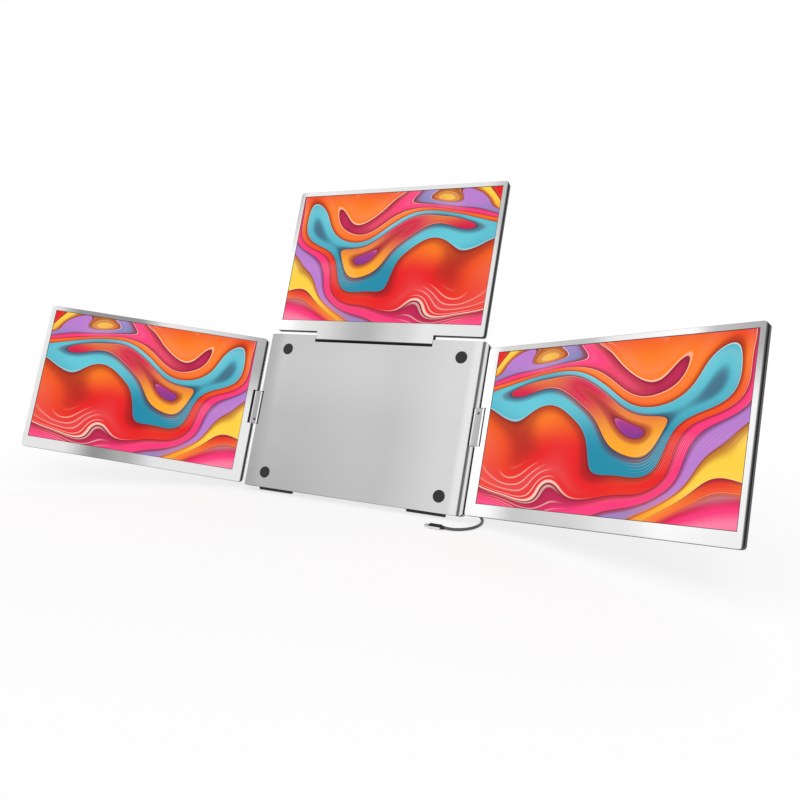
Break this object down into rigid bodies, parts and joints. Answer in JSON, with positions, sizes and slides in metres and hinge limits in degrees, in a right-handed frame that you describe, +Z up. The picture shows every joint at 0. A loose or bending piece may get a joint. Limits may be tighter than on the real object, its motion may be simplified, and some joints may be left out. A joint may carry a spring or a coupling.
{
  "type": "laptop screen extender",
  "caption": "Frame with a folding back stand that carries hinged left, right and top screens round a laptop lid, with a short plug-in cable.",
  "frame": {"origin": "middle of the base on the table, under the middle of the whole width and depth (cable and plug left out)", "axes": "+X to the viewer's right, +Y away from the viewer, +Z up"},
  "size_m": [1.0758, 0.333, 0.4677],
  "materials": {
    "bezel_silver": "satin anodised",
    "cover_dark": "dark grey anodised",
    "display": "lit flowing colour bands under clear gloss",
    "light_guide": "white tray",
    "circuit_board": "solder mask",
    "key_black": "fine matt",
    "steel": "ground",
    "block_silver": "fine blasted",
    "frame_silver": "satin anodised",
    "frame_pale": "satin anodised",
    "core_dark": "black coated",
    "rubber_black": "matt",
    "socket_metal": "plated",
    "lead_black": "film",
    "cable_grey": "braided sleeve",
    "plug_silver": "satin"
  },
  "bodies": {
    "frame": {"frame_front": "frame_silver", "frame_core": "core_dark", "frame_back": "frame_pale", "frame_feet": "rubber_black", "frame_screws": "steel", "lid_pads": "rubber_black", "hub_board": "circuit_board", "hub_sockets": "socket_metal", "ribbon_leads": "lead_black", "stand_pins": "steel", "left_frame_pin": "steel", "right_frame_pin": "steel", "top_hinge_pins": "steel", "top_hinge_washers": "steel", "left_frame_washers": "steel", "right_frame_washers": "steel", "cable_sleeve": "rubber_black", "usb_cable": "cable_grey", "plug_boot": "rubber_black", "plug_body": "plug_silver", "plug_tip": "socket_metal"},
    "stand": {"stand_plate": "frame_pale", "stand_pad": "rubber_black"},
    "left_link": {"left_hinge_block": "block_silver", "left_block_screw": "steel"},
    "right_link": {"right_hinge_block": "block_silver", "right_block_screw": "steel"},
    "left_screen": {"left_bezel": "bezel_silver", "left_back_cover": "cover_dark", "left_display": "display", "left_backlight": "light_guide", "left_driver_board": "circuit_board", "left_screws": "steel", "left_screen_pin": "steel", "left_screen_washers": "steel"},
    "right_screen": {"right_bezel": "bezel_silver", "right_back_cover": "cover_dark", "right_display": "display", "right_backlight": "light_guide", "right_driver_board": "circuit_board", "right_screws": "steel", "right_screen_pin": "steel", "right_screen_washers": "steel"},
    "top_screen": {"top_bezel": "bezel_silver", "top_back_cover": "cover_dark", "top_display": "display", "top_backlight": "light_guide", "top_driver_board": "circuit_board", "top_screws": "steel"},
    "left_power_key": {"left_power_button": "key_black"},
    "left_rocker_key": {"left_rocker": "key_black"},
    "right_power_key": {"right_power_button": "key_black"},
    "right_rocker_key": {"right_rocker": "key_black"},
    "top_power_key": {"top_power_button": "key_black"},
    "top_rocker_key": {"top_rocker": "key_black"}
  },
  "joints": [
    {"name": "stand_fold", "type": "hinge", "parent": "frame", "child": "stand", "pos_m": [-0.00104, 0.03308, 0.14109], "axis": [1, 0, 0], "range_deg": [-40.44, 16]},
    {"name": "left_link_swing", "type": "hinge", "parent": "frame", "child": "left_link", "pos_m": [-0.18654, 0.01729, 0.12334], "axis": [0, 0.3907, 0.9205], "range_deg": [-22, 68]},
    {"name": "right_link_swing", "type": "hinge", "parent": "frame", "child": "right_link", "pos_m": [0.18246, 0.01453, 0.12452], "axis": [0, -0.3907, -0.9205], "range_deg": [-22, 68]},
    {"name": "left_screen_turn", "type": "hinge", "parent": "left_link", "child": "left_screen", "pos_m": [-0.19739, 0.01326, 0.12506], "axis": [0, 0.3907, 0.9205], "range_deg": [0, 90]},
    {"name": "right_screen_turn", "type": "hinge", "parent": "right_link", "child": "right_screen", "pos_m": [0.19812, 0.0087, 0.12699], "axis": [0, -0.3907, -0.9205], "range_deg": [0, 90]},
    {"name": "top_tilt", "type": "hinge", "parent": "frame", "child": "top_screen", "pos_m": [-0.00104, 0.06414, 0.23436], "axis": [1, 0, 0], "range_deg": [-90, 90]},
    {"name": "left_power_press", "type": "slide", "parent": "left_screen", "child": "left_power_key", "axis": [0.3746, -0.8535, 0.3623], "range_m": [0, 0.0004], "stiffness_N_per_m": 900, "springref_m": -0.0006},
    {"name": "left_rocker_tilt", "type": "hinge", "parent": "left_screen", "child": "left_rocker_key", "pos_m": [-0.47875, -0.12649, 0.07683], "axis": [0, 0.3907, 0.9205], "range_deg": [-2.5, 2.5], "stiffness_Nm_per_rad": 0.3},
    {"name": "right_power_press", "type": "slide", "parent": "right_screen", "child": "right_power_key", "axis": [-0.3746, -0.8535, 0.3623], "range_m": [0, 0.0004], "stiffness_N_per_m": 900, "springref_m": -0.0006},
    {"name": "right_rocker_tilt", "type": "hinge", "parent": "right_screen", "child": "right_rocker_key", "pos_m": [0.47875, -0.1278, 0.07738], "axis": [0, 0.3907, 0.9205], "range_deg": [-2.5, 2.5], "stiffness_Nm_per_rad": 0.3},
    {"name": "top_power_press", "type": "slide", "parent": "top_screen", "child": "top_power_key", "axis": [0, -0.9205, 0.3907], "range_m": [0, 0.0004], "stiffness_N_per_m": 900, "springref_m": -0.0006},
    {"name": "top_rocker_tilt", "type": "hinge", "parent": "top_screen", "child": "top_rocker_key", "pos_m": [0.11546, 0.08234, 0.26738], "axis": [0, 0.3907, 0.9205], "range_deg": [-2.5, 2.5], "stiffness_Nm_per_rad": 0.3}
  ]
}
